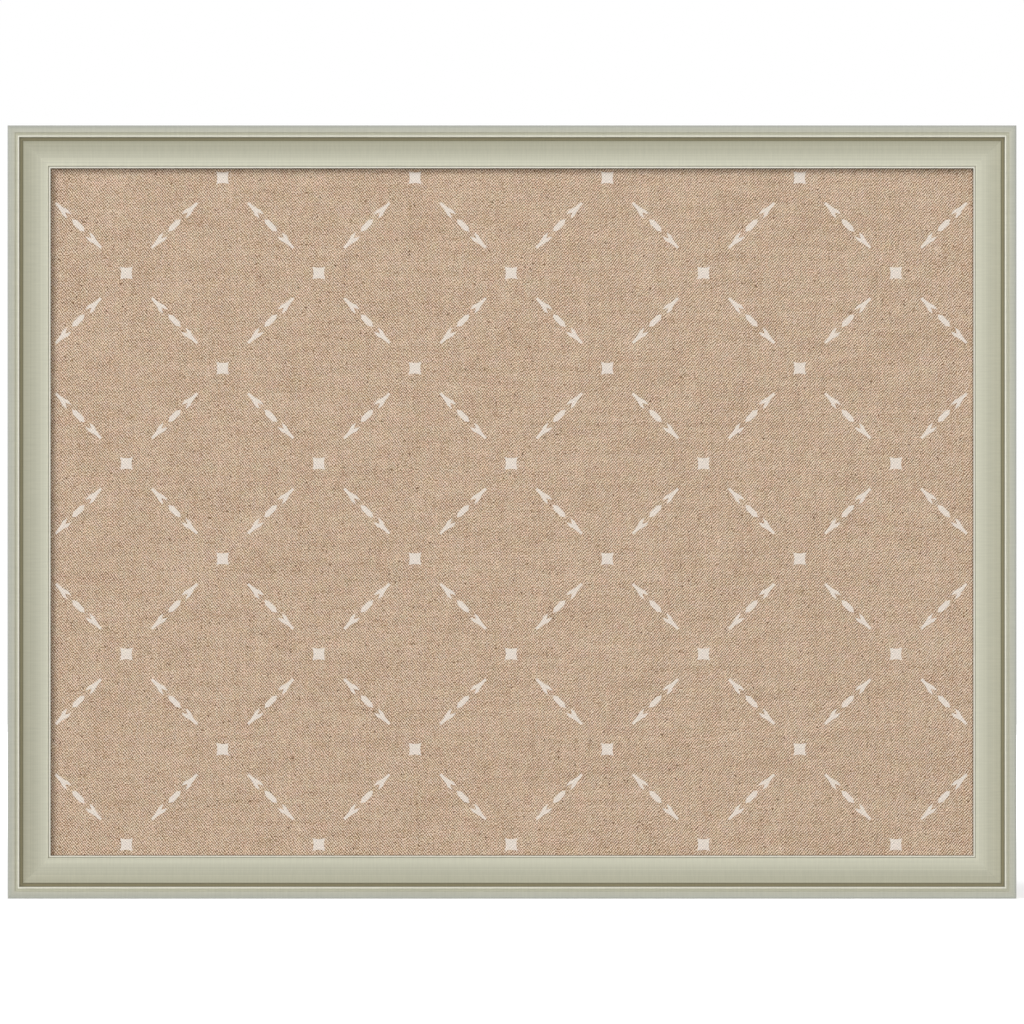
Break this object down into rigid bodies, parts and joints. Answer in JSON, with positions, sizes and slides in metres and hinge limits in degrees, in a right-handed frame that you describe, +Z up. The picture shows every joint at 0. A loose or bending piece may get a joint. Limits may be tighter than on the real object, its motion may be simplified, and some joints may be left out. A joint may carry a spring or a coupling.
{
  "type": "framed memo board",
  "caption": "Wall memo board: printed linen stretched over a pin panel, held in a mitred satin moulding, with swinging D-ring hangers and bumpers behind.",
  "frame": {"origin": "middle of the board's outline, on the wall plane that the bumpers touch", "axes": "+X to the viewer's right, +Y from the face into the wall, +Z up"},
  "size_m": [0.6524, 0.027, 0.5002],
  "materials": {
    "moulding": "satin metallic lacquer, grey-green, with a darker glaze in the groove",
    "linen": "plain-woven natural linen with an off-white trellis print",
    "cork": "fine-grain agglomerated cork",
    "hardboard": "smooth brown hardboard",
    "steel": "zinc-plated steel",
    "rubber": "matt black rubber"
  },
  "bodies": {
    "board": {"top_rail": "moulding", "bottom_rail": "moulding", "left_stile": "moulding", "right_stile": "moulding", "fabric_cover": "linen", "cork_sheet": "cork", "backer_board": "hardboard", "point_top_rail_1": "steel", "point_top_rail_2": "steel", "point_top_rail_3": "steel", "point_top_rail_4": "steel", "point_bottom_rail_1": "steel", "point_bottom_rail_2": "steel", "point_bottom_rail_3": "steel", "point_bottom_rail_4": "steel", "point_left_stile_1": "steel", "point_left_stile_2": "steel", "point_left_stile_3": "steel", "point_right_stile_1": "steel", "point_right_stile_2": "steel", "point_right_stile_3": "steel", "v_nail_top_left_outer": "steel", "v_nail_top_left_inner": "steel", "v_nail_top_right_outer": "steel", "v_nail_top_right_inner": "steel", "v_nail_bottom_left_outer": "steel", "v_nail_bottom_left_inner": "steel", "v_nail_bottom_right_outer": "steel", "v_nail_bottom_right_inner": "steel", "left_hanger_strap": "steel", "left_hanger_screw": "steel", "right_hanger_strap": "steel", "right_hanger_screw": "steel", "left_bumper": "rubber", "right_bumper": "rubber"},
    "left_ring": {"left_hanger_ring": "steel"},
    "right_ring": {"right_hanger_ring": "steel"}
  },
  "joints": [
    {"name": "left_ring_swing", "type": "hinge", "parent": "board", "child": "left_ring", "pos_m": [-0.31593, -0.0026, 0.11], "axis": [-1, 0, 0], "range_deg": [0, 175]},
    {"name": "right_ring_swing", "type": "hinge", "parent": "board", "child": "right_ring", "pos_m": [0.31593, -0.0026, 0.11], "axis": [-1, 0, 0], "range_deg": [0, 175]}
  ]
}
